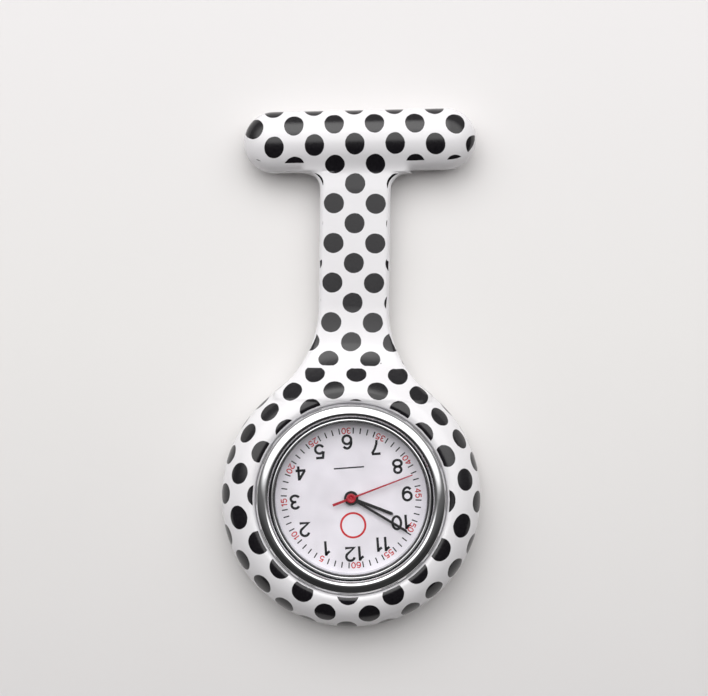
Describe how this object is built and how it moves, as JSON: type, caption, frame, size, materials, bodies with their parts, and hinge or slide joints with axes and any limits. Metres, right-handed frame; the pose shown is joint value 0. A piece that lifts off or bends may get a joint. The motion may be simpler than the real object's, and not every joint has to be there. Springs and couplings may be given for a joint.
{
  "type": "fob watch",
  "caption": "Nurse's quartz fob watch in a soft holder: round ring with the watch, flexible strap, and a bar with a brooch pin; the dial hangs upside down.",
  "frame": {"origin": "bottom centre of the bounding box, on the plane that the holder's back and the brooch pin rest on", "axes": "+X to the right seen from the front, +Y up the strap to the pin bar, +Z out of the dial"},
  "size_m": [0.044, 0.0878, 0.011],
  "materials": {
    "silicone": "glossy white silicone with black spots",
    "chrome": "polished chrome plating",
    "pin_steel": "nickel-plated steel",
    "steel": "stainless steel",
    "crystal": "clear mineral glass",
    "nylon": "clear nylon",
    "seal": "black rubber",
    "dial_paint": "satin pale lilac-white",
    "hand_black": "satin black",
    "hand_red": "gloss red",
    "brass": "turned brass",
    "plate": "nickel-plated brass",
    "movement_plastic": "white moulded plastic",
    "magnet": "sintered magnet",
    "soft_iron": "annealed soft iron",
    "copper": "enamelled copper wire",
    "board": "green laminate",
    "chip": "black resin",
    "cell": "nickel-plated steel"
  },
  "bodies": {
    "watch_head": {"holder_strap": "silicone", "holder_ring": "silicone", "watch_case": "chrome", "crystal": "crystal", "crystal_gasket": "nylon", "flange_ring": "chrome", "case_back": "steel", "case_back_gasket": "seal", "dial": "dial_paint", "main_plate": "plate", "train_bridge": "plate", "movement_holder": "movement_plastic", "movement_screws": "steel", "stator": "soft_iron", "coil_core": "soft_iron", "coil_winding": "copper", "circuit_board": "board", "circuit_chip": "chip", "quartz_crystal_can": "cell", "battery_cell": "cell", "battery_clamp": "steel", "battery_spring": "steel"},
    "pin_bar": {"holder_bar": "silicone", "pin_base_plate": "pin_steel", "hinge_rivet": "pin_steel", "catch_body": "pin_steel"},
    "needle": {"pin_needle": "steel"},
    "sleeve": {"catch_sleeve": "pin_steel"},
    "crown_slider": {"crown_gasket": "seal"},
    "crown_and_stem": {"crown": "chrome", "setting_stem": "steel"},
    "clutch": {"sliding_pinion": "steel"},
    "lever": {"setting_lever": "steel"},
    "yoke_lever": {"yoke": "steel"},
    "seconds": {"fourth_wheel": "brass", "second_hand": "hand_red"},
    "fifth": {"fifth_wheel": "brass"},
    "rotor": {"step_rotor": "magnet"},
    "third": {"third_wheel": "brass"},
    "minutes": {"center_wheel": "brass", "cannon_pinion": "brass", "minute_hand": "hand_black"},
    "minute_reduction": {"minute_wheel": "brass"},
    "hours": {"hour_wheel": "brass", "hour_hand": "hand_black"}
  },
  "joints": [
    {"name": "strap_flex", "type": "hinge", "parent": "watch_head", "child": "pin_bar", "pos_m": [0, 0.02015, 0.004], "axis": [1, 0, 0], "range_deg": [-45, 90], "stiffness_Nm_per_rad": 0.005, "deforming": ["holder_strap"]},
    {"name": "pin_swing", "type": "hinge", "parent": "pin_bar", "child": "needle", "pos_m": [-0.0155, 0.03857, 0.00145], "axis": [0, 1, 0], "range_deg": [0, 80]},
    {"name": "catch_roll", "type": "hinge", "parent": "pin_bar", "child": "sleeve", "pos_m": [0.014, 0.03857, 0.00145], "axis": [1, 0, 0], "range_deg": [0, 100]},
    {"name": "crown_pull", "type": "slide", "parent": "watch_head", "child": "crown_slider", "axis": [-0.9962, -0.0872, 0], "range_m": [0, 0.001]},
    {"name": "crown_turn", "type": "hinge", "parent": "crown_slider", "child": "crown_and_stem", "pos_m": [-0.01594, -0.02332, 0.00495], "axis": [-0.9962, -0.0872, 0], "continuous": true},
    {"name": "setting_lever_rock", "type": "hinge", "parent": "watch_head", "child": "lever", "pos_m": [-0.0058, -0.02444, 0.00495], "axis": [0, 0, 1], "range_deg": [0, 32]},
    {"name": "yoke_rock", "type": "hinge", "parent": "watch_head", "child": "yoke_lever", "pos_m": [-0.00477, -0.02013, 0.00495], "axis": [0, 0, 1], "range_deg": [0, 18]},
    {"name": "clutch_slide", "type": "slide", "parent": "watch_head", "child": "clutch", "axis": [-0.9962, -0.0872, 0], "range_m": [-0.0006, 0]},
    {"name": "seconds_turn", "type": "hinge", "parent": "watch_head", "child": "seconds", "pos_m": [0, -0.02193, 0.00475], "axis": [0, 0, -1], "continuous": true},
    {"name": "fifth_turn", "type": "hinge", "parent": "watch_head", "child": "fifth", "pos_m": [-0.00127, -0.02464, 0.00475], "axis": [0, 0, -1], "continuous": true},
    {"name": "rotor_turn", "type": "hinge", "parent": "watch_head", "child": "rotor", "pos_m": [-0.00073, -0.02623, 0.00475], "axis": [0, 0, -1], "continuous": true},
    {"name": "third_turn", "type": "hinge", "parent": "watch_head", "child": "third", "pos_m": [0.00277, -0.02322, 0.00475], "axis": [0, 0, -1], "continuous": true},
    {"name": "minutes_turn", "type": "hinge", "parent": "watch_head", "child": "minutes", "pos_m": [0, -0.02193, 0.0054], "axis": [0, 0, -1], "continuous": true},
    {"name": "minute_wheel_turn", "type": "hinge", "parent": "watch_head", "child": "minute_reduction", "pos_m": [-0.00226, -0.0211, 0.0064], "axis": [0, 0, -1], "continuous": true},
    {"name": "hours_turn", "type": "hinge", "parent": "watch_head", "child": "hours", "pos_m": [0, -0.02193, 0.0066], "axis": [0, 0, -1], "continuous": true}
  ],
  "couplings": [
    {"joint": "setting_lever_rock", "follows": "crown_pull", "rad_per_m": 523.6},
    {"joint": "yoke_rock", "follows": "crown_pull", "rad_per_m": 270},
    {"joint": "clutch_slide", "follows": "crown_pull", "ratio": -0.5},
    {"joint": "fifth_turn", "follows": "seconds_turn", "ratio": -5},
    {"joint": "rotor_turn", "follows": "seconds_turn", "ratio": 30},
    {"joint": "third_turn", "follows": "seconds_turn", "ratio": -0.13333},
    {"joint": "minutes_turn", "follows": "seconds_turn", "ratio": 0.016667},
    {"joint": "minute_wheel_turn", "follows": "seconds_turn", "ratio": -0.0055556},
    {"joint": "hours_turn", "follows": "seconds_turn", "ratio": 0.0013889}
  ]
}
